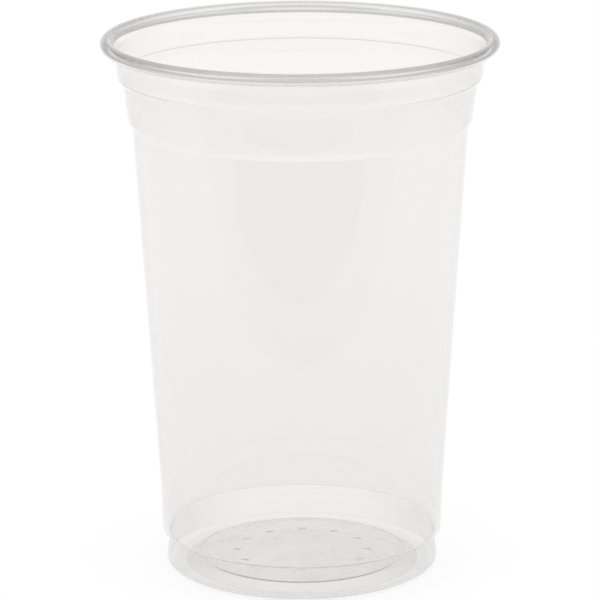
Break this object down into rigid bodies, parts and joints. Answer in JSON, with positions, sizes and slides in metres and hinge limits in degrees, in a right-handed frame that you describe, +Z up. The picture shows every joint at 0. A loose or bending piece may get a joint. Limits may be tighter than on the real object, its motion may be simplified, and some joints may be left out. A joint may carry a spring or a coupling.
{
  "type": "disposable cup",
  "caption": "Tall clear plastic cup with a rolled rim, a stepped collar, a tapered wall, a stacking ledge over a narrow foot, and a raised disc in the floor.",
  "frame": {"origin": "centre of the foot, on the surface that the cup stands on", "axes": "+Z up along the cup's axis to the mouth; X and Y are alike, because the cup is turned about Z"},
  "size_m": [0.095, 0.095, 0.1306],
  "materials": {
    "clear_plastic": "clear, glossy, faintly grey"
  },
  "bodies": {
    "root": {"cup": "clear_plastic"}
  },
  "joints": []
}
